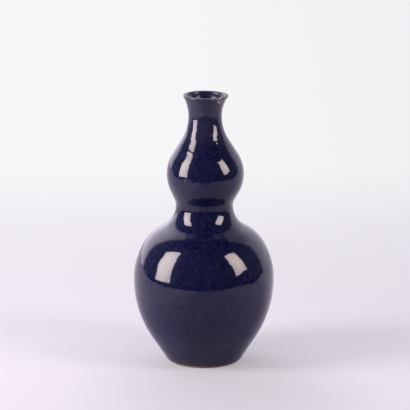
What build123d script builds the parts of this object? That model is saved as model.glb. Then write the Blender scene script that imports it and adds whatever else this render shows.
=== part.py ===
from build123d import *
from math import asin, atan2, cos, degrees, radians, sin, sqrt, tan
import os

os.makedirs("parts", exist_ok=True)

# A double gourd vase, thrown in four sections that are luted together with slip, then glazed.
# The origin is the middle of the foot, on the surface that the vase stands on, with +Z up.
# Lengths are in millimetres and angles in degrees.

# Radii of the glazed outside at its stations
foot_radius = 27.9
belly_radius = 54.5
waist_radius = 22.05
bulb_radius = 29.7
neck_radius = 12.8

# Heights from one station to the next
foot_to_belly = 65.2
belly_to_waist = 58.5
waist_to_bulb = 24.4
bulb_to_neck = 45.1
neck_to_lip = 16.8

# Bulging bends of the belly and its shoulder
upper_belly_bend = 54.4
upper_belly_sweep = 31
shoulder_bend = 33.7

# Share that the upper bulb takes of its own bend and that of the hollow under or over it
lower_bulb_share = 0.76
upper_bulb_share = 0.465

# Straight runs that join a bulge to the hollow beside it
foot_run = 23.6
shoulder_run = 1
bulb_run = 7.2
neck_run = 13.5

# Hollow bend of the flaring lip outside, and the lip's width before it is rounded
lip_bend = 29.8
lip_width = 3.1

# Thickness of the clay and of its glaze
clay_wall = 3
clay_floor = 6
glaze = 0.5

# Inside corner of the floor
floor_bend = 9

# Shares of the lip's width that its two roundings take, and of these that the clay under them has
outer_round_share = 0.26
inner_round_share = 0.5
clay_round_share = 0.3

# Turned foot: a bare ring round a glazed recess
foot_ring_width = 4.6
foot_chamfer = 0.7
recess_depth = 4
recess_draft = 12
recess_bend = 1.6
bare_height = 2
glaze_edge_share = 0.6

# Luted seams: bevelled seats with a film of slip between, and the bead that it leaves inside
slip_film = 0.6
seat_slope = 25
bead_radius = 1.3
neck_seam_share = 0.25

# Heights of the stations above the foot
belly_height = foot_to_belly
waist_height = belly_height + belly_to_waist
bulb_height = waist_height + waist_to_bulb
neck_height = bulb_height + bulb_to_neck
lip_height = neck_height + neck_to_lip

# How deep the clay's inside, the glazed inside and the middle of the wall lie under the outside
hollow_depth = glaze + clay_wall
inside_depth = glaze + clay_wall + glaze
middle_depth = inside_depth / 2
floor_height = recess_depth + clay_floor
recess_radius = foot_radius - foot_ring_width

# Hollow bend of the lip inside, which leaves the lip its width, and the roundings over the lip
outer_flare = lip_bend - sqrt(lip_bend**2 - neck_to_lip**2)
inner_flare = outer_flare + inside_depth - lip_width
lip_inner_bend = (inner_flare**2 + neck_to_lip**2) / (2 * inner_flare)
outer_round = lip_width * outer_round_share
inner_round = lip_width * inner_round_share

# Bends that the inside and the middle of the lip would have at the depth of the outside
inner_lip = lip_inner_bend - inside_depth
middle_lip = (lip_bend + lip_inner_bend) / 2 - middle_depth

# How far a seat's bevel and a level cut reach past the wall
seat_reach = inside_depth
beyond = belly_radius + inside_depth

# Lower belly: an arc that is level with the belly's widest point and touches the run from the foot
belly_swell = belly_radius - foot_radius
lower_belly_bend = (belly_swell**2 + foot_to_belly**2 - foot_run**2) / (2 * belly_swell)
lower_belly_centre = (belly_radius - lower_belly_bend, belly_height)
lower_belly_start = degrees(
    atan2(-foot_to_belly, lower_belly_bend - belly_swell) + atan2(foot_run, lower_belly_bend)
)

# Upper belly, and the tighter shoulder that goes on from it
upper_belly_centre = (belly_radius - upper_belly_bend, belly_height)
shoulder_centre = (
    upper_belly_centre[0] + (upper_belly_bend - shoulder_bend) * cos(radians(upper_belly_sweep)),
    upper_belly_centre[1] + (upper_belly_bend - shoulder_bend) * sin(radians(upper_belly_sweep)),
)


def hollow_beside(bulge_centre, bulge_bend, radius, height, run):
    """Bend of the hollow at a narrow station, and the angle at which the run leaves the bulge."""
    across = radius - bulge_centre[0]
    along = height - bulge_centre[1]
    bend = (across**2 + along**2 - bulge_bend**2 - run**2) / (2 * (bulge_bend - across))
    lean = atan2(run, bulge_bend + bend)
    slant = atan2(along, across + bend)
    return bend, degrees(slant - lean)


def shared_bends(swell, rise, run, share):
    """Bends of a bulge and of the hollow beside it, which share the way between their stations,
    and the angle at which the run leaves the bulge."""
    both = (swell**2 + rise**2 - run**2) / (2 * swell)
    angle = atan2(rise, both - swell) - atan2(run, both)
    return both * share, both * (1 - share), degrees(angle)


# Hollow collar over the shoulder, and the two hollows that the upper bulb lies between
collar_bend, shoulder_end = hollow_beside(
    shoulder_centre, shoulder_bend, waist_radius, waist_height, shoulder_run
)
lower_bulb_bend, crease_bend, bulb_start = shared_bends(
    bulb_radius - waist_radius, waist_to_bulb, bulb_run, lower_bulb_share
)
upper_bulb_bend, neck_bend, bulb_end = shared_bends(
    bulb_radius - neck_radius, bulb_to_neck, neck_run, upper_bulb_share
)

# The two arcs of the upper bulb meet at its widest point
lower_bulb_centre = (bulb_radius - lower_bulb_bend, bulb_height)
upper_bulb_centre = (bulb_radius - upper_bulb_bend, bulb_height)


def outline(depth, lip, top):
    """Layer of the wall at a depth under the glazed outside, as a face that is closed to the axis.
    The flare starts from the neck with the bend of the lip and ends level at the top."""
    with BuildSketch() as layer:
        with BuildLine():
            lower_belly = CenterArc(
                lower_belly_centre, lower_belly_bend - depth, lower_belly_start, -lower_belly_start
            )
            CenterArc(upper_belly_centre, upper_belly_bend - depth, 0, upper_belly_sweep)
            shoulder = CenterArc(
                shoulder_centre,
                shoulder_bend - depth,
                upper_belly_sweep,
                shoulder_end - upper_belly_sweep,
            )
            collar = CenterArc(
                (waist_radius + collar_bend, waist_height),
                collar_bend + depth,
                180 + shoulder_end,
                -shoulder_end,
            )
            Line(shoulder @ 1, collar @ 0)
            crease = CenterArc(
                (waist_radius + crease_bend, waist_height), crease_bend + depth, 180, -bulb_start
            )
            lower_bulb = CenterArc(
                lower_bulb_centre, lower_bulb_bend - depth, -bulb_start, bulb_start
            )
            Line(crease @ 1, lower_bulb @ 0)
            upper_bulb = CenterArc(upper_bulb_centre, upper_bulb_bend - depth, 0, bulb_end)
            throat = CenterArc(
                (neck_radius + neck_bend, neck_height), neck_bend + depth, 180 + bulb_end, -bulb_end
            )
            Line(upper_bulb @ 1, throat @ 0)
            flare = CenterArc(
                (neck_radius + lip, neck_height),
                lip + depth,
                180,
                -degrees(asin((top - neck_height) / (lip + depth))),
            )
            foot_lean = radians(90 + lower_belly_start)
            foot = (foot_radius - depth / sin(foot_lean), 0)
            Polyline(flare @ 1, (0, top), (0, 0), foot, lower_belly @ 0)
        make_face()
    return layer.sketch


def between(lower, upper):
    """Face between two lines that cross the wall from the axis outwards."""
    with BuildSketch() as zone:
        with BuildLine():
            Polyline(*lower, *reversed(upper), close=True)
        make_face()
    return zone.sketch


def level(height):
    """Level cut from the axis to beyond the belly."""
    return [(0, height), (beyond, height)]


def wall(skin):
    """Half section of the whole vase with a skin taken off all round.
    No skin leaves the glazed form, and the glaze's own thickness leaves the bare clay."""
    top = lip_height - skin
    coat = glaze - skin
    sharpness = clay_round_share if skin else 1
    with BuildSketch() as hollow:
        add(outline(inside_depth - skin, inner_lip, top))
        add(between(level(floor_height + coat), level(top)), mode=Mode.INTERSECT)
        floor_corner = hollow.vertices().group_by(Axis.Y)[0].sort_by(Axis.X)[-1]
        fillet(floor_corner, floor_bend + skin)
    rim = recess_radius - coat / cos(radians(recess_draft))
    ceiling = recess_depth - coat
    corner = rim - ceiling * tan(radians(recess_draft))
    with BuildSketch() as recess:
        with BuildLine():
            Polyline((0, 0), (rim, 0), (corner, ceiling), (0, ceiling), close=True)
        make_face()
        recess_corner = recess.vertices().group_by(Axis.Y)[-1].sort_by(Axis.X)[-1]
        fillet(recess_corner, recess_bend - coat)
    with BuildSketch() as section:
        add(outline(skin, lip_bend, top))
        add(hollow.sketch, mode=Mode.SUBTRACT)
        add(recess.sketch, mode=Mode.SUBTRACT)
        inner_corner, outer_corner = section.vertices().group_by(Axis.Y)[-1].sort_by(Axis.X)
        fillet(inner_corner, inner_round * sharpness)
        fillet(outer_corner, outer_round * sharpness)
    return section.sketch


def seat(seam, side):
    """Line of a bevelled seat: it slopes across the wall and falls to the inside, half a film of slip
    above or below the middle of the seam, and runs on level to the axis and to the outside."""
    radius, height, lean = seam
    slope = radians(lean + seat_slope)
    middle_radius = radius - side * slip_film / 2 * sin(slope)
    middle_height = height + side * slip_film / 2 * cos(slope)
    across = seat_reach * cos(slope)
    rise = seat_reach * sin(slope)
    return [
        (0, middle_height - rise),
        (middle_radius - across, middle_height - rise),
        (middle_radius + across, middle_height + rise),
        (beyond, middle_height + rise),
    ]


def bead(seam, thickness):
    """Round bead of slip on the inside of the wall, where the seat comes out."""
    radius, height, lean = seam
    slope = radians(lean + seat_slope)
    inwards = (hollow_depth - middle_depth) / cos(radians(seat_slope))
    with BuildSketch() as ring:
        with Locations((radius - inwards * cos(slope), height - inwards * sin(slope))):
            Circle(bead_radius + thickness)
    return ring.sketch


# Seams as radius and height of the wall's middle, and how far the wall leans in there
belly_seam = (belly_radius - middle_depth, belly_height, 0)
waist_seam = (waist_radius - middle_depth, waist_height, 0)
neck_seam = (
    upper_bulb_centre[0]
    + (upper_bulb_bend - middle_depth) * cos(radians(bulb_end))
    - neck_run * neck_seam_share * sin(radians(bulb_end)),
    upper_bulb_centre[1]
    + (upper_bulb_bend - middle_depth) * sin(radians(bulb_end))
    + neck_run * neck_seam_share * cos(radians(bulb_end)),
    bulb_end,
)
seams = {"belly_slip": belly_seam, "waist_slip": waist_seam, "neck_slip": neck_seam}

clay = wall(glaze)
glazed = wall(0)
middle = outline(middle_depth, middle_lip, lip_height)


# Lower half of the lower bulb, with the floor and the turned foot ring
with BuildPart() as base_section:
    with BuildSketch(Plane.XZ) as base_profile:
        add(clay)
        add(between(level(0), seat(belly_seam, -1)), mode=Mode.INTERSECT)
        chamfer(base_profile.vertices().group_by(Axis.Y)[0], foot_chamfer)
    revolve(axis=Axis.Z)
base_section.part.label = "base_section"
export_step(base_section.part, "parts/base_section.step")

# Upper half of the lower bulb, drawn in over the shoulder to the waist
with BuildPart() as shoulder_section:
    with BuildSketch(Plane.XZ):
        add(clay)
        add(between(seat(belly_seam, 1), seat(waist_seam, -1)), mode=Mode.INTERSECT)
    revolve(axis=Axis.Z)
shoulder_section.part.label = "shoulder_section"
export_step(shoulder_section.part, "parts/shoulder_section.step")

# Upper bulb, from the waist to below the neck
with BuildPart() as bulb_section:
    with BuildSketch(Plane.XZ):
        add(clay)
        add(between(seat(waist_seam, 1), seat(neck_seam, -1)), mode=Mode.INTERSECT)
    revolve(axis=Axis.Z)
bulb_section.part.label = "bulb_section"
export_step(bulb_section.part, "parts/bulb_section.step")

# Neck that flares to a thinner, rounded lip
with BuildPart() as neck_section:
    with BuildSketch(Plane.XZ):
        add(clay)
        add(between(seat(neck_seam, 1), level(lip_height)), mode=Mode.INTERSECT)
    revolve(axis=Axis.Z)
neck_section.part.label = "neck_section"
export_step(neck_section.part, "parts/neck_section.step")

# Slip that lutes the sections: a film in each seat, and the bead that it was pressed into inside
for name, seam in seams.items():
    with BuildPart() as slip:
        with BuildSketch(Plane.XZ):
            add(bead(seam, 0))
            add(clay, mode=Mode.SUBTRACT)
            add(clay & between(seat(seam, -1), seat(seam, 1)))
        revolve(axis=Axis.Z)
    slip.part.label = name
    export_step(slip.part, f"parts/{name}.step")

# Cobalt glaze of the outside, from over the lip down to the bare foot ring
with BuildPart() as outer_glaze:
    with BuildSketch(Plane.XZ) as outer_profile:
        add(glazed)
        add(clay, mode=Mode.SUBTRACT)
        add(middle, mode=Mode.SUBTRACT)
        add(between(level(bare_height), level(lip_height)), mode=Mode.INTERSECT)
        glaze_edge = outer_profile.vertices().group_by(Axis.Y)[0].sort_by(Axis.X)[-1]
        fillet(glaze_edge, glaze * glaze_edge_share)
    revolve(axis=Axis.Z)
outer_glaze.part.label = "outer_glaze"
export_step(outer_glaze.part, "parts/outer_glaze.step")

# Glaze of the inside, poured in and out again: it covers the floor, the wall and the beads of slip
with BuildPart() as inner_glaze:
    with BuildSketch(Plane.XZ):
        add(glazed)
        for seam in seams.values():
            add(bead(seam, glaze))
        add(middle, mode=Mode.INTERSECT)
        add(clay, mode=Mode.SUBTRACT)
        for seam in seams.values():
            add(bead(seam, 0), mode=Mode.SUBTRACT)
        add(between(level(floor_height), level(lip_height)), mode=Mode.INTERSECT)
    revolve(axis=Axis.Z)
inner_glaze.part.label = "inner_glaze"
export_step(inner_glaze.part, "parts/inner_glaze.step")

# Glaze under the foot, inside the ring, wiped off as high as on the outside
with BuildPart() as base_glaze:
    with BuildSketch(Plane.XZ):
        add(glazed)
        add(clay, mode=Mode.SUBTRACT)
        add(middle, mode=Mode.INTERSECT)
        add(between(level(bare_height), level(recess_depth)), mode=Mode.INTERSECT)
    revolve(axis=Axis.Z)
base_glaze.part.label = "base_glaze"
export_step(base_glaze.part, "parts/base_glaze.step")
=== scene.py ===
from math import atan2, ceil, cos, pi, radians, sin, sqrt, tan

import bmesh
import bpy
import numpy as np
from mathutils import Matrix, Vector, noise


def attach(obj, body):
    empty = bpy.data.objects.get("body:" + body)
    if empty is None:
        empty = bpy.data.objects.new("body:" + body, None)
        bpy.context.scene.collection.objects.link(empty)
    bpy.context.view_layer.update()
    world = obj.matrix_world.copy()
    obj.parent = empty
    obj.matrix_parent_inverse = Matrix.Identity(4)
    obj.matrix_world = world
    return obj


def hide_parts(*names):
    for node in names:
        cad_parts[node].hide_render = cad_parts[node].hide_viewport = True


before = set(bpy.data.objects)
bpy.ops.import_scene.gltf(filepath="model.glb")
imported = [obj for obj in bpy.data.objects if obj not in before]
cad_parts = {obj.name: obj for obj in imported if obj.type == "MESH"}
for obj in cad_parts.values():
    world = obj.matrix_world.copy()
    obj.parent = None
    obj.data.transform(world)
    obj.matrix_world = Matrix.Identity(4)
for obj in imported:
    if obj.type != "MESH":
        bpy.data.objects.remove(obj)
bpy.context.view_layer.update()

# Lower half of the lower bulb, with the floor and the turned foot ring. It is buff stoneware that
# was thrown on the wheel as a deep bowl. Its foot was turned when leather hard, and its rim is
# bevelled, so that the upper half can be luted on.

# Radii of the glazed outside at its stations, and the way up between them, in millimetres
foot_radius = 27.9
belly_radius = 54.5
waist_radius = 22.05
bulb_radius = 29.7
neck_radius = 12.8
foot_to_belly = 65.2
belly_to_waist = 58.5
waist_to_bulb = 24.4
bulb_to_neck = 45.1
neck_to_lip = 16.8

# Bends of the outline, the straight runs between them, and a bulge's share of a bend that it
# shares with the hollow beside it
upper_belly_bend = 54.4
upper_belly_sweep = radians(31)
shoulder_bend = 33.7
lower_bulb_share = 0.76
upper_bulb_share = 0.465
foot_run = 23.6
shoulder_run = 1
bulb_run = 7.2
neck_run = 13.5
lip_bend = 29.8
lip_width = 3.1

# Angle at which the arc of the flare ends, past the lip, and how far apart the points on an arc lie
flare_end = 0.8 * pi
arc_pitch = 0.2

# Thickness of the glaze, and how deep the other layers of the wall lie under the outside
glaze = 0.5
wall_middle = 2
clay_back = 3.5
inside_face = clay_back + glaze
floor_height = 10
floor_bend = 9

# Turned foot
recess_radius = 23.3
recess_depth = 4
recess_draft = radians(12)
recess_bend = 1.6
foot_chamfer = 0.7

# Luted seats: the film of slip, its slope, how far up or down the wall it can come out, and the
# two faces of the film
slip_film = 0.6
seat_slope = radians(25)
seat_reach = 6
below, above = -1, 1

# Fineness of the mesh: pitches up the section in millimetres, close as far up as the foot's top,
# columns round the axis, and the angle from which an edge stays sharp
foot_top = 6
foot_pitch = 0.8
base_pitch = 3
base_columns = 240
sharp_edge = radians(38)

belly_height = foot_to_belly
waist_height = belly_height + belly_to_waist
bulb_height = waist_height + waist_to_bulb
neck_height = bulb_height + bulb_to_neck
lip_height = neck_height + neck_to_lip

belly_swell = belly_radius - foot_radius
lower_belly_bend = (belly_swell**2 + belly_height**2 - foot_run**2) / (2 * belly_swell)
lower_belly_start = atan2(-belly_height, lower_belly_bend - belly_swell) + atan2(
    foot_run, lower_belly_bend
)
foot_lean = pi / 2 + lower_belly_start
upper_belly_middle = belly_radius - upper_belly_bend
shoulder_middle = (
    upper_belly_middle + (upper_belly_bend - shoulder_bend) * cos(upper_belly_sweep),
    belly_height + (upper_belly_bend - shoulder_bend) * sin(upper_belly_sweep),
)
collar_across = waist_radius - shoulder_middle[0]
collar_up = waist_height - shoulder_middle[1]
collar_bend = (collar_across**2 + collar_up**2 - shoulder_bend**2 - shoulder_run**2) / (
    2 * (shoulder_bend - collar_across)
)
shoulder_end = atan2(collar_up, collar_across + collar_bend) - atan2(
    shoulder_run, shoulder_bend + collar_bend
)


def shared_bends(swell, rise, run, share):
    """Bends of a bulge and of the hollow beside it, and the angle at which the run leaves the
    bulge."""
    both = (swell**2 + rise**2 - run**2) / (2 * swell)
    return both * share, both * (1 - share), atan2(rise, both - swell) - atan2(run, both)


lower_bulb_bend, crease_bend, bulb_start = shared_bends(
    bulb_radius - waist_radius, bulb_height - waist_height, bulb_run, lower_bulb_share
)
upper_bulb_bend, neck_bend, bulb_end = shared_bends(
    bulb_radius - neck_radius, neck_height - bulb_height, neck_run, upper_bulb_share
)
outer_flare = lip_bend - sqrt(lip_bend**2 - (lip_height - neck_height) ** 2)
inner_flare = outer_flare + inside_face - lip_width
inner_lip = (inner_flare**2 + (lip_height - neck_height) ** 2) / (2 * inner_flare) - inside_face


def flank(depth, lip):
    """Points all the way up a layer of the wall, as radius and height, at a depth under the
    outside. The flare over the neck has the bend given as lip."""
    bends = (
        (belly_radius - lower_belly_bend, belly_height, lower_belly_bend - depth, lower_belly_start, 0),
        (upper_belly_middle, belly_height, upper_belly_bend - depth, 0, upper_belly_sweep),
        (*shoulder_middle, shoulder_bend - depth, upper_belly_sweep, shoulder_end),
        (waist_radius + collar_bend, waist_height, collar_bend + depth, pi + shoulder_end, pi),
        (waist_radius + crease_bend, waist_height, crease_bend + depth, pi, pi - bulb_start),
        (bulb_radius - lower_bulb_bend, bulb_height, lower_bulb_bend - depth, -bulb_start, 0),
        (bulb_radius - upper_bulb_bend, bulb_height, upper_bulb_bend - depth, 0, bulb_end),
        (neck_radius + neck_bend, neck_height, neck_bend + depth, pi + bulb_end, pi),
        (neck_radius + lip, neck_height, lip + depth, pi, flare_end),
    )
    points = [(foot_radius - depth / sin(foot_lean), 0)]
    for across, up, bend, first, last in bends:
        for angle in np.linspace(first, last, ceil(abs(last - first) * bend / arc_pitch) + 1):
            points.append((across + bend * cos(angle), up + bend * sin(angle)))
    return np.array(points)


clay_outside = flank(glaze, lip_bend)
clay_inside = flank(clay_back, inner_lip)


def climb(layer, low, high, pitch):
    """Points up a layer between two heights, about a pitch apart."""
    within = layer[(layer[:, 1] > low) & (layer[:, 1] < high)]
    ends = [(np.interp(h, layer[:, 1], layer[:, 0]), h) for h in (low, high)]
    path = np.vstack([ends[0], within, ends[1]])
    way = np.r_[0, np.cumsum(np.hypot(*np.diff(path, axis=0).T))]
    stops = np.linspace(0, way[-1], max(2, round(way[-1] / pitch) + 1))
    return np.c_[np.interp(stops, way, path[:, 0]), np.interp(stops, way, path[:, 1])]


# Points closer together than this are one, in millimetres
same_point = 1e-4


def joined(*paths):
    """Paths one after another, without the points that they share."""
    path = np.vstack([np.reshape(p, (-1, 2)) for p in paths])
    fresh = np.r_[True, np.hypot(*np.diff(path, axis=0).T) > same_point]
    return path[fresh]


def rounded(path, corner, bend, steps=5):
    """Path with one corner rounded. The corner is given by its place in the path."""
    corner %= len(path)
    point = path[corner]
    before = point - path[corner - 1]
    after = path[corner + 1] - point
    before, after = before / np.hypot(*before), after / np.hypot(*after)
    side = np.sign(before[0] * after[1] - before[1] * after[0])
    turn = np.arccos(np.clip(before @ after, -1, 1))
    cut = bend * tan(turn / 2)
    first, last = corner, corner
    while first > 0 and np.hypot(*(path[first] - point)) < cut:
        first -= 1
    while last < len(path) - 1 and np.hypot(*(path[last] - point)) < cut:
        last += 1
    start = point - before * cut
    middle = start + bend * side * np.array([-before[1], before[0]])
    x, y = start - middle
    arc = []
    for angle in np.linspace(0, side * turn, steps + 1):
        arc.append(middle + (x * cos(angle) - y * sin(angle), x * sin(angle) + y * cos(angle)))
    return joined(path[: first + 1], arc, path[last:])


def seat_height(seam, side, layer):
    """Height at which a bevelled seat comes out of a layer, below the film of slip or above it.
    A seam is the radius and height of the wall's middle, and the slope of the seat across it."""
    radius, height, slope = seam
    near = layer[abs(layer[:, 1] - height) < seat_reach]
    off = (near[:, 1] - height) * cos(slope) - (near[:, 0] - radius) * sin(slope)
    return float(np.interp(side * slip_film / 2, off, near[:, 1]))


belly_seam = (belly_radius - wall_middle, belly_height, seat_slope)


def add(tree, kind, inputs=None, **settings):
    """Node of a kind, with its settings, and its inputs linked to sockets or set to values."""
    node = tree.nodes.new(kind)
    for name, value in settings.items():
        setattr(node, name, value)
    for name, value in (inputs or {}).items():
        if isinstance(value, bpy.types.NodeSocket):
            tree.links.new(value, node.inputs[name])
        else:
            node.inputs[name].default_value = value
    return node


def reckon(tree, sort, first, *others):
    """Result of a sum on one socket or number, or on several from left to right."""
    if not others:
        return add(tree, "ShaderNodeMath", {0: first}, operation=sort).outputs[0]
    for other in others:
        first = add(tree, "ShaderNodeMath", {0: first, 1: other}, operation=sort).outputs[0]
    return first


def mapped(tree, value, low, high, least=0.0, most=1.0, way="LINEAR"):
    """Value brought from between two numbers to between two others, and kept between those."""
    return add(
        tree,
        "ShaderNodeMapRange",
        {"Value": value, "From Min": low, "From Max": high, "To Min": least, "To Max": most},
        interpolation_type=way,
    ).outputs[0]


def rising(tree, value, low, high, least=0.0, most=1.0):
    """The same, with a smooth start and end."""
    return mapped(tree, value, low, high, least, most, "SMOOTHSTEP")


def wheel_tree():
    """Turns a section round the axis and gives it the wander of the thrower's hand. Every piece of
    the vase goes through it, and the wander is the same at the same height and side of the axis,
    so clay, slip and glaze stay on each other."""
    tree = bpy.data.node_groups.new("thrown_on_the_wheel", "GeometryNodeTree")
    tree.interface.new_socket("Section", in_out="INPUT", socket_type="NodeSocketGeometry")
    numbers = (
        ("Columns", "NodeSocketInt", 192),
        ("Crowding", "NodeSocketFloat", 0.0),
        ("Crowded Side", "NodeSocketFloat", 0.0),
        ("Oval", "NodeSocketFloat", 0.00012),
        ("Broad Wander", "NodeSocketFloat", 0.00022),
        ("Fine Wander", "NodeSocketFloat", 0.00004),
        ("Ring Pitch", "NodeSocketFloat", 0.0052),
        ("Ring Depth", "NodeSocketFloat", 0.00003),
        ("Lip Tilt", "NodeSocketFloat", 0.0155),
        ("Lip Nod", "NodeSocketFloat", 0.012),
        ("Edge Wander", "NodeSocketFloat", 0.0),
        ("Seed", "NodeSocketFloat", 3.0),
    )
    for name, kind, value in numbers:
        socket = tree.interface.new_socket(name, in_out="INPUT", socket_type=kind)
        socket.default_value = value
    tree.interface.new_socket("Material", in_out="INPUT", socket_type="NodeSocketMaterial")
    tree.interface.new_socket("Piece", in_out="OUTPUT", socket_type="NodeSocketGeometry")
    given = add(tree, "NodeGroupInput").outputs

    # Scales of the noise are in features per metre, and lengths in metres. The wander is full from
    # its radius outwards and fades towards the axis
    broad, fine, ring_change, edge_change = 22.0, 140.0, 26.0, 120.0
    noise_middle, noise_stretch = 0.5, 3.0
    oval_turn = 0.5
    drum = 0.04
    wander_radius = 0.012
    edge_top, edge_bottom = 0.006, 0.0025
    lean_middle, lean_span = 0.5, 0.002
    same_place = 1e-6

    def stored(geometry, name, value, kind):
        """Geometry with a value kept at each of its points."""
        return add(
            tree,
            "GeometryNodeStoreNamedAttribute",
            {"Geometry": geometry, "Name": name, "Value": value},
            data_type=kind,
            domain="POINT",
        ).outputs[0]

    place = add(tree, "GeometryNodeInputPosition").outputs[0]
    section = add(tree, "GeometryNodeMeshToCurve", {"Mesh": given["Section"]}).outputs[0]
    section = stored(section, "station", place, "FLOAT_VECTOR")
    ring = add(
        tree, "GeometryNodeCurvePrimitiveCircle", {"Resolution": given["Columns"], "Radius": drum}
    ).outputs["Curve"]

    # The columns stand even round the axis, or crowd together round one side
    step = reckon(tree, "DIVIDE", 2 * pi, given["Columns"])
    even = reckon(tree, "MULTIPLY", add(tree, "GeometryNodeInputIndex").outputs[0], step)
    off = reckon(tree, "SINE", reckon(tree, "SUBTRACT", even, given["Crowded Side"]))
    angle = reckon(tree, "SUBTRACT", even, reckon(tree, "MULTIPLY", off, given["Crowding"]))
    ring = stored(ring, "turn", angle, "FLOAT")
    body = add(tree, "GeometryNodeCurveToMesh", {"Curve": ring, "Profile Curve": section}).outputs[0]

    turn = add(tree, "GeometryNodeInputNamedAttribute", {"Name": "turn"}, data_type="FLOAT").outputs[0]
    station = add(
        tree, "GeometryNodeInputNamedAttribute", {"Name": "station"}, data_type="FLOAT_VECTOR"
    ).outputs[0]
    radius, _, height = add(tree, "ShaderNodeSeparateXYZ", {0: station}).outputs
    across, along = reckon(tree, "COSINE", turn), reckon(tree, "SINE", turn)

    # A place on a plain drum stands for the height and side, and the noise is read there
    spot = add(
        tree,
        "ShaderNodeCombineXYZ",
        {
            0: reckon(tree, "MULTIPLY", across, drum),
            1: reckon(tree, "MULTIPLY", along, drum),
            2: reckon(tree, "ADD", height, given["Seed"]),
        },
    ).outputs[0]

    def uneven(scale, depth, detail=1.0):
        """Noise from about minus to plus a depth."""
        value = add(
            tree, "ShaderNodeTexNoise", {"Vector": spot, "Scale": scale, "Detail": detail}
        ).outputs[0]
        centred = reckon(tree, "SUBTRACT", value, noise_middle)
        return reckon(tree, "MULTIPLY", centred, noise_stretch, depth)

    rings_up = reckon(tree, "DIVIDE", height, given["Ring Pitch"])
    spiral = reckon(tree, "ADD", reckon(tree, "MULTIPLY", rings_up, 2 * pi), turn)
    twice_round = reckon(tree, "ADD", reckon(tree, "MULTIPLY", turn, 2.0), oval_turn)
    swell = reckon(
        tree,
        "ADD",
        reckon(tree, "MULTIPLY", reckon(tree, "COSINE", twice_round), given["Oval"]),
        uneven(broad, given["Broad Wander"]),
        uneven(fine, given["Fine Wander"]),
        reckon(tree, "MULTIPLY", reckon(tree, "SINE", spiral), uneven(ring_change, given["Ring Depth"])),
    )
    reach = mapped(tree, radius, 0.0, wander_radius)
    wide = reckon(tree, "ADD", radius, reckon(tree, "MULTIPLY", swell, reach))

    # The axis wanders to the side on the way up, by up to a millimetre. The pairs are a share of
    # the height, and a share of the way from left to right
    lean = add(
        tree,
        "ShaderNodeFloatCurve",
        {"Value": reckon(tree, "DIVIDE", height, lip_height / 1000)},
    )
    sideways = (
        (0, 0.32),
        (0.13, 0.1),
        (0.31, 0.14),
        (0.5, 0.3),
        (0.59, 0.36),
        (0.7, 0.75),
        (0.92, 0.66),
        (1, 1),
    )
    curve = lean.mapping.curves[0]
    curve.points[0].location = sideways[0]
    curve.points[1].location = sideways[-1]
    for where in sideways[1:-1]:
        curve.points.new(*where)
    lean.mapping.update()
    aside = reckon(tree, "SUBTRACT", lean.outputs[0], lean_middle)
    aside = reckon(tree, "MULTIPLY", aside, lean_span)

    # The lip lies out of level, and the lower edge of a glaze goes up and down
    east = reckon(tree, "ADD", reckon(tree, "MULTIPLY", wide, across), aside)
    north = reckon(tree, "MULTIPLY", wide, along)
    top = rising(tree, height, neck_height / 1000, lip_height / 1000)
    fall = reckon(tree, "MULTIPLY", east, given["Lip Tilt"])
    fall = reckon(tree, "SUBTRACT", fall, reckon(tree, "MULTIPLY", north, given["Lip Nod"]))
    tilt = reckon(tree, "MULTIPLY", fall, top)
    low = rising(tree, height, edge_top, edge_bottom)
    edge = reckon(tree, "MULTIPLY", uneven(edge_change, given["Edge Wander"], detail=2.0), low)
    up = reckon(tree, "ADD", reckon(tree, "SUBTRACT", height, tilt), edge)
    place = add(tree, "ShaderNodeCombineXYZ", {0: east, 1: north, 2: up}).outputs[0]
    body = add(tree, "GeometryNodeSetPosition", {"Geometry": body, "Position": place}).outputs[0]
    body = add(
        tree, "GeometryNodeMergeByDistance", {"Geometry": body, "Distance": same_place}
    ).outputs[0]
    body = add(tree, "GeometryNodeSetShadeSmooth", {"Geometry": body}).outputs[0]
    body = add(tree, "GeometryNodeRealizeInstances", {"Geometry": body}).outputs[0]
    body = add(
        tree, "GeometryNodeSetMaterial", {"Geometry": body, "Material": given["Material"]}
    ).outputs[0]
    add(tree, "NodeGroupOutput", {"Piece": body})
    return tree


thrown = wheel_tree()


def turned(name, path, material, node, slot, **inputs):
    """Piece turned from its section by the wheel tree, as a plain mesh that stands for a CAD node.
    A section that starts on the axis is open, and any other is closed."""
    closed = path[0][0] > 0
    outline = bpy.data.meshes.new(name)
    lines = [(i, i + 1) for i in range(len(path) - 1)] + ([(len(path) - 1, 0)] if closed else [])
    outline.from_pydata([(r / 1000, 0, z / 1000) for r, z in path], lines, [])
    piece = bpy.data.objects.new(name, outline)
    bpy.context.scene.collection.objects.link(piece)
    wheel = piece.modifiers.new("wheel", "NODES")
    wheel.node_group = thrown
    values = {"Material": material, **{k.replace("_", " "): v for k, v in inputs.items()}}
    for socket in thrown.interface.items_tree:
        if socket.in_out == "INPUT" and socket.name in values:
            wheel[socket.identifier] = values[socket.name]
    scene_now = bpy.context.evaluated_depsgraph_get()
    mesh = bpy.data.meshes.new_from_object(
        piece.evaluated_get(scene_now), preserve_all_data_layers=True, depsgraph=scene_now
    )
    piece.modifiers.remove(wheel)
    piece.data = mesh
    shape = bmesh.new()
    shape.from_mesh(mesh)
    if shape.calc_volume(signed=True) < 0:
        bmesh.ops.reverse_faces(shape, faces=shape.faces)
    shape.to_mesh(mesh)
    shape.free()
    mesh.set_sharp_from_angle(angle=sharp_edge)
    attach(piece, "root")
    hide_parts(node)
    return piece


def principled(name):
    """New node material, with its tree, its shader and the object coordinates."""
    material = bpy.data.materials.new(name)
    material.use_nodes = True
    tree = material.node_tree
    shader = tree.nodes["Principled BSDF"]
    here = add(tree, "ShaderNodeTexCoord").outputs["Object"]
    return material, tree, shader, here


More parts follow.
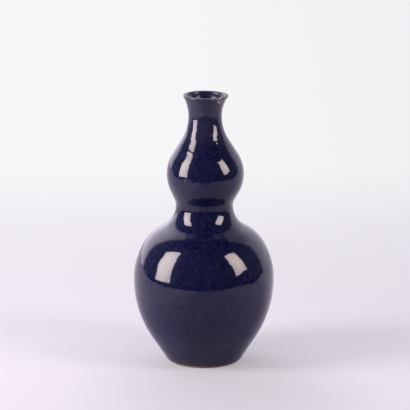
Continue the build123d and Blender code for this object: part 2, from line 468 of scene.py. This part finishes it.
def speckle(tree, here, scale, detail=2.0, roughness=0.6):
    """Noise at a scale in features per metre."""
    return add(
        tree,
        "ShaderNodeTexNoise",
        {"Vector": here, "Scale": scale, "Detail": detail, "Roughness": roughness},
    ).outputs[0]


def ramp(tree, value, *stops):
    """Colour ramp with its stops as place and colour."""
    node = add(tree, "ShaderNodeValToRGB", {0: value})
    for place, _ in stops[1:-1]:
        node.color_ramp.elements.new(place)
    for element, (place, colour) in zip(node.color_ramp.elements, stops):
        element.position = place
        element.color = (*colour, 1)
    return node.outputs[0]


def blend(tree, factor, first, second):
    """Colour between two. The node's sockets for colours come after those for other values."""
    node = add(tree, "ShaderNodeMix", data_type="RGBA")
    sockets = (node.inputs[0], node.inputs[6], node.inputs[7])
    for socket, value in zip(sockets, (factor, first, second)):
        if isinstance(value, bpy.types.NodeSocket):
            tree.links.new(value, socket)
        else:
            socket.default_value = value if isinstance(value, float) else (*value, 1)
    return node.outputs[2]


# Bare clay: its grain and sand in features per metre, the levels of the grain's dark and pale, how
# far out a grain of sand fades, how rough the clay is and how deep its grain, and the heights in
# metres between which it turns browner towards the foot, its own colour, and darker, painted
# shade near the floor
clay_grain = 1800.0
clay_sand = 1500.0
dark_level, pale_level = 0.3, 0.62
sand_reach = (0.12, 0.2)
clay_roughness = 0.85
clay_relief = 0.00006
foot_brown_and_shade = (0.012, 0.001)


def clay_material(name, pale, dark, foot):
    """Bare fired clay: sandy grain, browner towards the foot, and darker there by painted shade."""
    material, tree, shader, here = principled(name)
    grain = speckle(tree, here, clay_grain, detail=3.0)
    sand = add(tree, "ShaderNodeTexVoronoi", {"Vector": here, "Scale": clay_sand}).outputs[0]
    body = ramp(tree, grain, (dark_level, dark), (pale_level, pale))
    body = blend(tree, mapped(tree, sand, *sand_reach), dark, body)
    height = add(tree, "ShaderNodeSeparateXYZ", {0: here}).outputs[2]
    # Browner towards the foot as the clay's own colour, and darker there as painted shade near the floor
    low = mapped(tree, height, *foot_brown_and_shade)
    tree.links.new(blend(tree, low, body, foot), shader.inputs["Base Color"])
    shader.inputs["Roughness"].default_value = clay_roughness
    bump = add(tree, "ShaderNodeBump", {"Height": grain, "Distance": clay_relief})
    tree.links.new(bump.outputs[0], shader.inputs["Normal"])
    return material


stoneware = clay_material(
    "fired_stoneware", pale=(0.46, 0.37, 0.28), dark=(0.30, 0.22, 0.15), foot=(0.25, 0.20, 0.14)
)
base_rim_outside = seat_height(belly_seam, below, clay_outside)
base_rim_inside = seat_height(belly_seam, below, clay_inside)
base_path = joined(
    rounded(
        joined(
            (0, recess_depth),
            (recess_radius - recess_depth * tan(recess_draft), recess_depth),
            (recess_radius - foot_chamfer * tan(recess_draft), foot_chamfer),
        ),
        1,
        recess_bend,
    ),
    (recess_radius + foot_chamfer, 0),
    (clay_outside[0][0] - foot_chamfer, 0),
    climb(clay_outside, foot_chamfer, foot_top, foot_pitch),
    climb(clay_outside, foot_top, base_rim_outside, base_pitch),
    rounded(
        joined(climb(clay_inside, floor_height, base_rim_inside, base_pitch)[::-1], (0, floor_height)),
        -2,
        floor_bend + glaze,
    ),
)
turned("thrown_base", base_path, stoneware, "base_section", "fired_clay", Columns=base_columns)


# Upper half of the lower bulb, drawn in over the shoulder to the waist. It is thrown upside down
# in the same clay, and sits on the base with its bevelled rim in slip.

shoulder_pitch = 2.5
waist_seam = (waist_radius - wall_middle, waist_height, seat_slope)


def wall_between(lower, upper, pitch):
    """Section of bare wall from over one seam to under the next."""
    sides = []
    for layer in (clay_outside, clay_inside):
        low, high = seat_height(lower, above, layer), seat_height(upper, below, layer)
        sides.append(climb(layer, low, high, pitch))
    return joined(sides[0], sides[1][::-1])


shoulder_path = wall_between(belly_seam, waist_seam, shoulder_pitch)
turned("thrown_shoulder", shoulder_path, stoneware, "shoulder_section", "fired_clay")


# Upper bulb, from the waist to below the neck. It is thrown as a small round pot of the same clay,
# without a floor, and luted on over the narrow mouth of the shoulder.

bulb_pitch = 2

# The neck's seam lies on the straight run over the bulb, at this share of its length
neck_seam_share = 0.25
neck_seam_run = neck_run * neck_seam_share
bulb_to_middle = upper_bulb_bend - wall_middle
neck_seam = (
    bulb_radius - upper_bulb_bend + bulb_to_middle * cos(bulb_end) - neck_seam_run * sin(bulb_end),
    bulb_height + bulb_to_middle * sin(bulb_end) + neck_seam_run * cos(bulb_end),
    bulb_end + seat_slope,
)
bulb_path = wall_between(waist_seam, neck_seam, bulb_pitch)
turned("thrown_bulb", bulb_path, stoneware, "bulb_section", "fired_clay")


# Neck that flares to a thinner, rounded lip. It is thrown by itself in the same clay and luted on
# last. Its clay shows where the glaze has come off the front of the lip.

neck_pitch = 1
neck_columns = 240

# Roundings of the lip on the glaze, and the share of them that the clay under it has
outer_round = 0.806
inner_round = 1.55
clay_round_share = 0.3

clay_top = lip_height - glaze
middle_line = flank(wall_middle, (lip_bend + inner_lip + inside_face) / 2 - wall_middle)
middle_top = float(np.interp(lip_height, middle_line[:, 1], middle_line[:, 0]))
outside, inside = (
    climb(layer, seat_height(neck_seam, above, layer), clay_top, neck_pitch)
    for layer in (clay_outside, clay_inside)
)
neck_path = joined(
    rounded(joined(outside, (middle_top, clay_top)), -2, outer_round * clay_round_share),
    rounded(joined((middle_top, clay_top), inside[::-1]), 1, inner_round * clay_round_share),
)
turned("thrown_neck", neck_path, stoneware, "neck_section", "fired_clay", Columns=neck_columns)


# Slip that lutes the sections: a film in each bevelled seat, and the bead that squeezes out of it
# inside the pot, where the potter's hand can't reach to smooth it.

bead_radius = 1.3
bead_pitch = 0.25
film_pitch = 0.3
luting = clay_material(
    "fired_slip", pale=(0.50, 0.41, 0.31), dark=(0.38, 0.29, 0.20), foot=(0.25, 0.19, 0.13)
)


def bead_middle(seam):
    """Middle of the bead of slip, where the seam comes out on the inside."""
    radius, height, slope = seam
    inwards = (clay_back - wall_middle) / cos(seat_slope)
    return radius - inwards * cos(slope), height - inwards * sin(slope)


def beaded(path, seam, bead):
    """Inside layer of the wall, pushed in by a bead of slip."""
    across, up = bead_middle(seam)
    near = abs(path[:, 1] - up) < bead
    bulge = across - np.sqrt(np.clip(bead**2 - (path[:, 1] - up) ** 2, 0, None))
    return np.c_[np.where(near, np.minimum(path[:, 0], bulge), path[:, 0]), path[:, 1]]


for name, seam in (("belly", belly_seam), ("waist", waist_seam), ("neck", neck_seam)):
    low_out, high_out = (seat_height(seam, side, clay_outside) for side in (below, above))
    low_in, high_in = (seat_height(seam, side, clay_inside) for side in (below, above))
    bead_up = bead_middle(seam)[1]
    bead_low, bead_high = bead_up - bead_radius, bead_up + bead_radius
    bead = beaded(climb(clay_inside, bead_low, bead_high, bead_pitch), seam, bead_radius)
    film = joined(
        climb(clay_outside, low_out, high_out, film_pitch),
        climb(clay_inside, high_in, bead_high, film_pitch),
        bead[::-1],
        climb(clay_inside, bead_low, low_in, film_pitch),
    )
    turned(f"luting_slip_{name}", film, luting, f"{name}_slip", "luting_slip")


# Glaze of the inside: the same cobalt glaze as outside, poured in and out again before the vase is
# fired. It covers the floor, the wall and the beads of slip, and meets the outer glaze on the lip.

lining_pitch = 0.9
throat_height = 190
throat_pitch = 0.5
backing_pitch = 2
lip_steps = 8
inner_columns = 200
inner_thin = (lip_height - 0.7, lip_height - 0.15)

# Patterns of the glaze in features per metre, the colour where it is milky, and how far a pattern is
# drawn out downwards, or round the axis
grain_scale = 900.0
cloud_scale = 330.0
spot_scale = 620.0
patch_scale = 300.0
peel_scale = 230.0
ripple_scale = 420.0
swell_scale = 75.0
milk = (0.035, 0.033, 0.065)
run_down = (1.0, 1.0, 0.65)
lying_level = (0.06, 0.06, 1.0)

# Weights of the patterns in the mottle, in the brown where the glaze is thin and in the relief, the
# levels of the mottle's three colours, the distances from its middle between which a spot fades in,
# and how strong spots and milkiness are at most
cloud_weight, grain_weight = 0.6, 0.65
thin_weight, patch_weight = 1.3, -0.5
ripple_weight, swell_weight = 0.7, 3.0
mottle_levels = (0.45, 0.62, 0.85)
spot_reach = (0.32, 0.1)
spot_strength = 0.35
milkiness = 0.35

# Roughness: the levels of the grain between which it rises and by how much, and the least where the
# glaze is thin, where it is broken and in the mirror image on another bulb. Thin glaze also loses
# a share of its peel
grain_levels = (0.3, 0.7)
grain_roughness = 0.03
thin_roughness = 0.36
broken_roughness = 0.75
mirrored_roughness = 0.5
thin_smoothness = 0.85
glaze_ior = 1.5

# Levels between which a scar comes to show, and its colours by its level: the pale ring of a
# blister, bare clay, and two darks that are painted shade in a nick and in a blister's deep hole
scar_shows = (0.12, 0.3)
scar_and_shade_colours = (
    (0.35, (0.27, 0.25, 0.28)),
    (0.6, (0.085, 0.076, 0.056)),
    (0.8, (0.02, 0.016, 0.014)),
    (1.0, (0.003, 0.002, 0.003)),
)


def weighed(tree, *parts):
    """Sum of values, each times its weight."""
    return reckon(tree, "ADD", *(reckon(tree, "MULTIPLY", *part) for part in parts))


def stretched(tree, here, scale):
    """Place on a pattern that is drawn out along an axis where its scale is below one."""
    return add(
        tree, "ShaderNodeMapping", {"Vector": here, "Scale": scale}, vector_type="POINT"
    ).outputs[0]


def glaze_material(name, deep, powder, brown, shine, peel_height=0.000035):
    """Glossy cobalt glaze: mottled at the size of sand, drawn out where it ran, brown and duller
    where it is thin, bare where it has come off, with painted shade in deep holes, and with a faint
    orange peel. How milky, thin and scarred it is, is painted on the piece, and counts as nought
    where nothing is painted."""
    material, tree, shader, here = principled(name)
    milky, thin, scar = (
        add(tree, "ShaderNodeAttribute", attribute_name=mark).outputs["Fac"]
        for mark in ("milky", "thin", "scar")
    )

    grain = speckle(tree, here, grain_scale, detail=2.5, roughness=0.65)
    cloud = speckle(tree, stretched(tree, here, run_down), cloud_scale)
    spots = add(tree, "ShaderNodeTexVoronoi", {"Vector": here, "Scale": spot_scale}).outputs[0]
    spots = mapped(tree, spots, *spot_reach, most=spot_strength)
    mottle = weighed(tree, (cloud, cloud_weight), (grain, grain_weight), (spots, grain))
    middling = tuple((3 * d + p) / 4 for d, p in zip(deep, powder))
    colour = ramp(tree, mottle, *zip(mottle_levels, (deep, middling, powder)))
    colour = blend(tree, reckon(tree, "MULTIPLY", milky, milkiness), colour, milk)
    patches = speckle(tree, here, patch_scale)
    patchy = weighed(tree, (thin, thin_weight), (patches, patch_weight))
    patchy = add(tree, "ShaderNodeClamp", {0: patchy}).outputs[0]
    colour = blend(tree, patchy, colour, brown)
    broken = mapped(tree, scar, *scar_shows)
    colour = blend(tree, broken, colour, ramp(tree, scar, *scar_and_shade_colours))
    tree.links.new(colour, shader.inputs["Base Color"])

    # The peel blurs what one bulb mirrors from the other
    mirrored = add(tree, "ShaderNodeLightPath").outputs["Is Glossy Ray"]
    rough = reckon(
        tree,
        "MAXIMUM",
        mapped(tree, grain, *grain_levels, shine, shine + grain_roughness),
        reckon(tree, "MULTIPLY", thin, thin_roughness),
        reckon(tree, "MULTIPLY", broken, broken_roughness),
        reckon(tree, "MULTIPLY", mirrored, mirrored_roughness),
    )
    tree.links.new(rough, shader.inputs["Roughness"])
    shader.inputs["IOR"].default_value = glaze_ior

    # Peel, ripples that lie level, and broad swells under both
    peel = speckle(tree, here, peel_scale, detail=1.0)
    ripples = speckle(tree, stretched(tree, here, lying_level), ripple_scale, detail=1.0)
    swells = speckle(tree, here, swell_scale, detail=1.0)
    relief = weighed(tree, (peel, 1.0), (ripples, ripple_weight), (swells, swell_weight))
    strength = reckon(tree, "SUBTRACT", 1.0, reckon(tree, "MULTIPLY", thin, thin_smoothness))
    bump = add(
        tree, "ShaderNodeBump", {"Height": relief, "Distance": peel_height, "Strength": strength}
    )
    tree.links.new(bump.outputs[0], shader.inputs["Normal"])
    return material


# Its blues are lighter than those of the outside glaze: painted light in the mouth
cobalt_inside = glaze_material(
    "cobalt_glaze_inside",
    deep=(0.009, 0.0095, 0.042),
    powder=(0.022, 0.024, 0.09),
    brown=(0.032, 0.031, 0.045),
    shine=0.2,
    peel_height=0.000012,
)
hollow_face = flank(inside_face, inner_lip)
lining = joined(
    climb(hollow_face, floor_height + glaze, throat_height, lining_pitch),
    climb(hollow_face, throat_height, lip_height, throat_pitch),
)
backing = climb(clay_inside, floor_height, clay_top, backing_pitch)
for seam in (belly_seam, waist_seam, neck_seam):
    lining = beaded(lining, seam, bead_radius + glaze)
    backing = beaded(backing, seam, bead_radius)
lining = rounded(joined((middle_top, lip_height), lining[::-1]), 1, inner_round, lip_steps)
lining = rounded(joined(lining, (0, floor_height + glaze)), -2, floor_bend)
backing = rounded(joined((0, floor_height), backing), 1, floor_bend + glaze)
backing = rounded(joined(backing, (middle_top, clay_top)), -2, inner_round * clay_round_share)
inner_path = joined(backing, lining)
inner = turned(
    "glaze_inside", inner_path, cobalt_inside, "inner_glaze", "inside_glaze", Columns=inner_columns
)


def layout(piece):
    """Sides round the axis in radians, and radii and heights in millimetres on the section."""
    mesh = piece.data
    places = np.empty(len(mesh.vertices) * 3, np.float32)
    stations = places.copy()
    mesh.vertices.foreach_get("co", places)
    mesh.attributes["station"].data.foreach_get("vector", stations)
    places, stations = places.reshape(-1, 3), stations.reshape(-1, 3) * 1000
    return np.arctan2(places[:, 1], places[:, 0]), stations[:, 0], stations[:, 2]


def paint(piece, name, values):
    """Number for each vertex, which the glaze reads."""
    mesh = piece.data
    mesh.attributes.new(name, "FLOAT", "POINT").data.foreach_set("value", np.float32(values))


def ease(values, low, high):
    """Smooth step from nought to one between two values."""
    share = np.clip((values - low) / (high - low), 0, 1)
    return share * share * (3 - 2 * share)


_, _, height = layout(inner)
paint(inner, "thin", ease(height, *inner_thin))


# Cobalt glaze of the outside, from over the lip down to a wavering edge above the bare foot ring.
# It is half a millimetre thick, pools to a soft roll at that edge, and runs thin over the lip.

bare_height = 2
outer_columns = 300
under_pitch = 3.5

# The skin goes up in stretches, each with its top and its pitch, closest where it has marks
stretches = (
    (8, 0.5),
    (145, 1.8),
    (152, 0.5),
    (166, 1.8),
    (182, 0.45),
    (198, 0.8),
    (lip_height, 0.25),
)

# Where the glaze is thin at the lip and the foot, with a brown stain on one side of the foot, and
# where it is milky on the neck. Heights are in millimetres and sides in degrees
lip_thin = (lip_height - 1.1, lip_height - 0.35)
foot_thin_top = 7
foot_thinness = 0.72
stain_side = -130
stain_reach = (24, 6)
stain_rise = 4
stain_thinness = 0.2
milky_neck = (170, 182)

# Burst blister with its raised ring, by side and height, and the flake lost from the lip beside it
blister = (-48.5, 208.0)
ring_radius = 1.75
ring_width = 0.55
ring_rise = 0.3
hole_radius = 0.95
hole_depth = 0.42
flake = ((-72.0, 209.7), (-60.0, 209.6), (-50.0, 209.9), (-42.0, 209.2), (-37.0, 208.4))
flake_sides = (-65, -50, -43, -37)
flake_widths = (0.45, 0.6, 1.25, 1.0)
flake_depth = 0.26
flake_from_blister = (1.9, 2.3)

# Nick in the lip, wrinkles over the seam of the neck from one side and height to another, and a
# pit on the upper bulb
nick = (-7, 209.8)
nick_radius = 0.7
nick_depth = 0.4
wrinkles = (
    ((-140.0, 169.6), (-127.0, 169.2)),
    ((-127.0, 169.2), (-113.0, 167.9)),
    ((-62.0, 175.2), (-55.0, 176.4)),
)
wrinkle_width = 0.5
wrinkle_rise = 0.07
pit = ((-122.0, 148.4), (-121.0, 147.8))
pit_radius = 0.75
pit_depth = 0.1
lip_reach = 17.3

# How much of a scar each mark is, by the levels of the scar's colours, and how far up its mound a
# mark starts to show and shows in full
ring_level = 0.34
flake_level = 0.66
# The nick's level is a dark of the scar's colours: painted shade in its hollow
nick_level = 0.8
ring_shows = (0.2, 0.5)
hole_shows = (0.35, 0.75)
pit_shows = (0.2, 0.6)
highest_rise = 0.35

# Wavering of the marks: noise on a drum, above a height, and how far it moves each of them
waver_drum = 9
waver_scale = 0.9
waver_bottom = 165
ring_waver = 0.2
flake_waver = 0.6
wrinkle_waver = 0.3

cobalt = glaze_material(
    "cobalt_glaze_outside",
    deep=(0.0022, 0.0026, 0.021),
    powder=(0.013, 0.015, 0.064),
    brown=(0.034, 0.033, 0.03),
    shine=0.04,
)
outer_face = flank(0, lip_bend)
starts = (bare_height, *(top for top, _ in stretches))
flanks = [climb(outer_face, low, high, pitch) for low, (high, pitch) in zip(starts, stretches)]
skin = rounded(joined(*flanks, (middle_top, lip_height)), -2, outer_round, lip_steps)
under = rounded(
    joined((middle_top, clay_top), climb(clay_outside, bare_height, clay_top, under_pitch)[::-1]),
    1,
    outer_round * clay_round_share,
)
coat = turned(
    "glaze_outside",
    joined(skin, under),
    cobalt,
    "outer_glaze",
    "cobalt_glaze",
    Columns=outer_columns,
    Crowding=0.45,
    Crowded_Side=radians(-45),
    Edge_Wander=0.0003,
)

# The skin is what lies clear of the clay, and the side towards the clay takes no marks
skin_clearance = 0.2
top_clearance = 0.05
side, radius, height = layout(coat)
turn = np.degrees(side)
clay_radius = np.interp(height, clay_outside[:, 1], clay_outside[:, 0])
on_skin = (radius > clay_radius + skin_clearance) | (height > clay_top + top_clearance)
spots = [(cos(a) * waver_drum, sin(a) * waver_drum, z) for a, z in zip(side, height)]
waver = np.array([noise.noise(Vector(s) * waver_scale) if s[2] > waver_bottom else 0 for s in spots])


def away_from(first, last, reach):
    """Distance in millimetres from a stroke over the skin, from one side and height to another."""
    place = np.c_[np.radians(turn) * reach, height]
    start = np.array((radians(first[0]) * reach, first[1]))
    stroke = np.array((radians(last[0]) * reach, last[1])) - start
    along = np.clip((place - start) @ stroke / max(stroke @ stroke, same_point), 0, 1)
    return np.hypot(*(place - start - along[:, None] * stroke).T)


def mound(off, width):
    """One at a mark, falling smoothly to nearly nought at twice its width."""
    return np.exp(-((off / width) ** 2))


from_blister = away_from(blister, blister, lip_reach)
from_flake = np.min([away_from(a, b, lip_reach) for a, b in zip(flake, flake[1:])], axis=0)
flake_width = np.interp(turn, flake_sides, flake_widths)
ring = mound(from_blister - ring_radius + ring_waver * waver, ring_width)
hole = mound(from_blister, hole_radius)
flaked = ease(from_flake + flake_waver * waver, flake_width, flake_width / 2)
flaked = flaked * ease(from_blister, *flake_from_blister)
nicked = mound(away_from(nick, nick, lip_reach), nick_radius)
pitted = mound(away_from(*pit, bulb_radius), pit_radius)
rise = ring_rise * ring - hole_depth * hole - flake_depth * flaked * (1 + waver)
rise = rise - nick_depth * nicked - pit_depth * pitted
for first, last in wrinkles:
    reach = float(np.interp(first[1], outer_face[:, 1], outer_face[:, 0]))
    rise += wrinkle_rise * mound(away_from(first, last, reach) + wrinkle_waver * waver, wrinkle_width)
rise = np.clip(rise, -hole_depth, highest_rise) * on_skin

mesh = coat.data
normals = np.empty(len(mesh.vertices) * 3, np.float32)
places = normals.copy()
mesh.vertices.foreach_get("co", places)
mesh.vertex_normals.foreach_get("vector", normals)
mesh.vertices.foreach_set("co", places + normals * np.repeat(rise / 1000, 3))
mesh.update()

stained = ease(abs(turn - stain_side), *stain_reach)
foot_thin = ease(height, foot_thin_top + stain_rise * stained, bare_height)
foot_thin = (foot_thinness + stain_thinness * stained) * foot_thin
thin = np.max([ease(height, *lip_thin), foot_thin, ease(pitted, *pit_shows)], axis=0)
ring_scar = ring_level * ease(ring, *ring_shows)
# The middle of the hole takes the darkest of the scar's colours: painted shade in its depth
hole_scar_and_shade = ease(hole, *hole_shows)
scar = np.max([ring_scar, flake_level * flaked, hole_scar_and_shade, nick_level * nicked], axis=0)
paint(coat, "thin", thin * on_skin)
paint(coat, "scar", scar * on_skin)
paint(coat, "milky", ease(height, *milky_neck))


# Thin glaze in the recess under the foot. It is the same cobalt glaze, brushed on and wiped off
# the ring as high as on the outside, so that the vase doesn't stick to the kiln shelf.

under_glaze = glaze_material(
    "cobalt_glaze_under_foot",
    deep=(0.012, 0.012, 0.05),
    powder=(0.03, 0.032, 0.10),
    brown=(0.14, 0.10, 0.07),
    shine=0.12,
)
draft = tan(recess_draft)
glazed_rim = recess_radius - glaze / cos(recess_draft)
glazed_depth = recess_depth - glaze
foot_path = joined(
    rounded(
        joined(
            (0, glazed_depth),
            (glazed_rim - glazed_depth * draft, glazed_depth),
            (glazed_rim - bare_height * draft, bare_height),
        ),
        1,
        recess_bend - glaze,
    ),
    rounded(
        joined(
            (recess_radius - bare_height * draft, bare_height),
            (recess_radius - recess_depth * draft, recess_depth),
            (0, recess_depth),
        ),
        1,
        recess_bend,
    ),
)
turned("glaze_under_foot", foot_path, under_glaze, "base_glaze", "base_glaze")


# Plain pale floor that the vase stands on. It is a wide sheet of matt paper, which runs on to the
# back without an edge. It isn't part of the vase.

floor_half = 8.0

# The paper as the glaze mirrors it: lit round the vase, and dark beyond a line in front of it and
# one at each side, which stand wider apart the further back they are. Places are in metres
paper_to_glaze = (0.45, 0.43, 0.58)
dark_to_glaze = (0.10, 0.09, 0.11)
lit_front = (-0.62, -0.48)
lit_sides = (0.95, 0.72)
lit_middle = 0.1
lit_widening = 1.88

# The paper as the camera sees it: with a painted soft shade round the foot, most of it in front
paper_shaded = (0.46, 0.455, 0.56)
paper_pale = (0.645, 0.635, 0.74)
shade_middle = (0.015, -0.11, 0.0)
shade_reach = 0.15

# Places in metres between which the room's own even light takes over from the paper's colour: to
# the back and far away for the camera, and at both sides and the back for the glaze
seen_back, seen_back_least = (0.03, 0.75), 0.42
seen_far = (0.6, 2.2)
mirrored_left = (-0.03, -0.22)
mirrored_right, mirrored_right_most = (0.03, 0.3), 0.4
mirrored_back = (-0.08, 0.2)

# The room's own even light on the paper, which is a little less at the right and where the vase
# covers the paper
room_light = (0.935, 0.92, 0.945)
room_light_to_glaze = (0.97, 0.88, 1.0)
right_dimness = 0.945
right_start, right_full = -0.1, 0.25
cover_reach = 0.08
covered_level = 0.6

floor_mesh = bpy.data.meshes.new("floor")
corners = [(x * floor_half, y * floor_half, 0) for x, y in ((-1, -1), (1, -1), (1, 1), (-1, 1))]
floor_mesh.from_pydata(corners, [], [(0, 1, 2, 3)])
floor = bpy.data.objects.new("floor", floor_mesh)
bpy.context.scene.collection.objects.link(floor)
paper = bpy.data.materials.new("pale_paper")
paper.use_nodes = True
tree = paper.node_tree
tree.nodes.clear()
here = add(tree, "ShaderNodeTexCoord").outputs["Object"]
across, along, _ = add(tree, "ShaderNodeSeparateXYZ", {0: here}).outputs
seen = add(tree, "ShaderNodeLightPath").outputs

lit_before = mapped(tree, along, *lit_front)
widening = reckon(tree, "MULTIPLY", reckon(tree, "MAXIMUM", along, 0.0), lit_widening)
off_middle = reckon(tree, "ABSOLUTE", reckon(tree, "SUBTRACT", across, lit_middle))
lit_beside = mapped(tree, reckon(tree, "SUBTRACT", off_middle, widening), *lit_sides)
lit = reckon(tree, "MULTIPLY", lit_before, lit_beside)
colour_to_glaze = blend(tree, lit, dark_to_glaze, paper_to_glaze)
from_shade = add(
    tree, "ShaderNodeVectorMath", {0: here, 1: shade_middle}, operation="DISTANCE"
).outputs["Value"]
unshaded = rising(tree, from_shade, 0.0, shade_reach)
colour_to_camera = blend(tree, unshaded, paper_shaded, paper_pale)
colour = blend(tree, seen["Is Camera Ray"], colour_to_glaze, colour_to_camera)
matt = add(tree, "ShaderNodeBsdfDiffuse", {"Color": colour}).outputs[0]

open_to_room = add(
    tree, "ShaderNodeAmbientOcclusion", {"Distance": cover_reach}, samples=4
).outputs["AO"]
evenness = reckon(
    tree,
    "MULTIPLY",
    rising(tree, open_to_room, 0.0, 1.0, least=covered_level),
    rising(tree, across, right_start, right_full, 1.0, right_dimness),
)
glow_colour = blend(tree, seen["Is Glossy Ray"], room_light, room_light_to_glaze)
glow = add(tree, "ShaderNodeEmission", {"Color": glow_colour, "Strength": evenness}).outputs[0]

# The room's light takes over from the paper's own colour towards the back and far away, and for
# the glaze also at both sides, less at the right
far_away = add(tree, "ShaderNodeVectorMath", {0: here}, operation="LENGTH").outputs["Value"]
glow_to_camera = reckon(
    tree,
    "MAXIMUM",
    rising(tree, along, *seen_back, least=seen_back_least),
    rising(tree, far_away, *seen_far),
)
glow_to_glaze = reckon(
    tree,
    "MAXIMUM",
    rising(tree, across, *mirrored_left),
    rising(tree, across, *mirrored_right, most=mirrored_right_most),
    rising(tree, along, *mirrored_back),
)
glow_to_glaze = reckon(tree, "MULTIPLY", glow_to_glaze, lit)
glowing = weighed(
    tree, (glow_to_camera, seen["Is Camera Ray"]), (glow_to_glaze, seen["Is Glossy Ray"])
)
surface = add(tree, "ShaderNodeMixShader", {0: glowing, 1: matt, 2: glow}).outputs[0]
add(tree, "ShaderNodeOutputMaterial", {"Surface": surface})
floor_mesh.materials.append(paper)


# Studio round the vase: a softbox of white cloth at its left and one at its right, a pale backdrop
# behind it and a dark room in front, which the glaze mirrors.

# Glow of the cloth by the distance from its middle, in widths of the cloth: most over the lamp in
# the middle, and cooler towards the rim
cloth_middle = (0.5, 0.5, 0.0)
cloth_glow = (
    (0.05, (1.0, 0.98, 0.95)),
    (0.35, (0.86, 0.855, 0.87)),
    (0.7, (0.5, 0.53, 0.6)),
)


def softbox(name, corners, radiance, tint):
    """Area lamp with its four corners at the top left, top right, bottom right and bottom left, as
    the vase sees it."""
    top_left, top_right, bottom_right, bottom_left = (Vector(c) for c in corners)
    middle = (top_left + top_right + bottom_right + bottom_left) / 4
    side = ((top_right + bottom_right) - (top_left + bottom_left)) / 2
    down = ((bottom_left + bottom_right) - (top_left + top_right)) / 2
    lamp = bpy.data.lights.new(name, "AREA")
    lamp.shape = "RECTANGLE"
    lamp.size, lamp.size_y = side.length, down.length
    lamp.energy = radiance * pi * side.length * down.length
    lamp.color = tint
    lamp.use_nodes = True
    tree = lamp.node_tree
    tree.nodes.clear()
    place = add(tree, "ShaderNodeNewGeometry").outputs["Parametric"]
    from_middle = add(
        tree, "ShaderNodeVectorMath", {0: place, 1: cloth_middle}, operation="DISTANCE"
    ).outputs["Value"]
    cloth = ramp(tree, from_middle, *cloth_glow)
    glow = add(tree, "ShaderNodeEmission", {"Color": cloth}).outputs[0]
    add(tree, "ShaderNodeOutputLight", {"Surface": glow})
    holder = bpy.data.objects.new(name, lamp)
    bpy.context.scene.collection.objects.link(holder)
    upright = -down.normalized()
    back = side.cross(upright).normalized()
    if back.dot(middle) < 0:
        back = -back
    sideways = upright.cross(back)
    upright = back.cross(sideways)
    pose = Matrix((sideways, upright, back)).transposed().to_4x4()
    pose.translation = middle
    holder.matrix_world = pose
    holder.visible_camera = False


softbox(
    "softbox_left",
    ((-0.997, -0.077, 0.91), (-0.605, -0.352, 0.90), (-0.575, -0.42, 0.085), (-1.0, -0.07, 0.085)),
    radiance=15.4,
    tint=(1.0, 0.875, 0.835),
)
softbox(
    "softbox_right",
    ((0.488, -0.488, 0.745), (0.688, -0.271, 0.785), (0.784, -0.160, 0.300), (0.559, -0.421, 0.162)),
    radiance=12.5,
    tint=(1.0, 0.865, 0.80),
)

# Brightness of the room by bearing in degrees: nought is straight in front of the vase, and what
# is below nought lies at the left
room_by_bearing = (
    (-180, 1.15),
    (-165, 2.0),
    (-130, 2.1),
    (-121, 0.17),
    (-92, 0.13),
    (-52, 0.2),
    (-38, 0.07),
    (60, 0.06),
    (80, 0.1),
    (112, 0.12),
    (120, 1.0),
    (165, 1.0),
    (180, 1.15),
)
room_tint = (1.08, 0.98, 1.16)
full_white = 2.45

# Both sides of the backdrop fade towards the ceiling, the right one from lower down. The first of
# a pair is the height, as the upward part of the direction
left_fade = ((0.62, 1), (0.79, 0.68), (0.87, 0.45), (0.92, 0.04))
right_fade = ((0.48, 1), (0.70, 0.55), (0.86, 0.42), (0.90, 0.05))
right_side = (-0.2, 0.2)
dimming_side = (-0.08, 0.08)

world = bpy.data.worlds.new("studio")
bpy.context.scene.world = world
world.use_nodes = True
tree = world.node_tree
tree.nodes.clear()
towards = add(tree, "ShaderNodeTexCoord").outputs["Generated"]
east, north, up = add(tree, "ShaderNodeSeparateXYZ", {0: towards}).outputs
bearing = reckon(tree, "ARCTAN2", east, reckon(tree, "MULTIPLY", north, -1.0))
round_share = reckon(tree, "ADD", reckon(tree, "DIVIDE", bearing, 2 * pi), 0.5)
# A colour on the ramp can't pass one, so it is divided by full_white, and the strength makes up
room_stops = (
    ((degrees + 180) / 360, [level * part / full_white for part in room_tint])
    for degrees, level in room_by_bearing
)
room = ramp(tree, round_share, *room_stops)
left_height, right_height = (
    ramp(tree, up, *((place, (level,) * 3) for place, level in fade))
    for fade in (left_fade, right_fade)
)
right = mapped(tree, east, *right_side)
strength = reckon(tree, "MULTIPLY", blend(tree, right, left_height, right_height), full_white)
room = add(tree, "ShaderNodeBackground", {"Color": room, "Strength": strength}).outputs[0]
dimming = mapped(tree, east, *dimming_side, 1.0, right_dimness)
backdrop = add(
    tree, "ShaderNodeBackground", {"Color": (*room_light, 1), "Strength": dimming}
).outputs[0]
camera_ray = add(tree, "ShaderNodeLightPath").outputs["Is Camera Ray"]
sky = add(tree, "ShaderNodeMixShader", {0: camera_ray, 1: room, 2: backdrop}).outputs[0]
add(tree, "ShaderNodeOutputWorld", {"Surface": sky})


# Camera with a long lens, almost two metres from the vase and half a metre over the floor. It looks
# a little down, so that it sees into the mouth.

lens_length = 220.3
lens_place = (0.0002, -1.890, 0.56123)
looking_down = radians(13.0448)
lens = bpy.data.cameras.new("camera")
lens.lens = lens_length
lens.sensor_width = 36
camera = bpy.data.objects.new("camera", lens)
bpy.context.scene.collection.objects.link(camera)
camera.location = lens_place
camera.rotation_euler = (pi / 2 - looking_down, 0, 0)
bpy.context.scene.camera = camera
bpy.context.scene.view_settings.view_transform = "Standard"
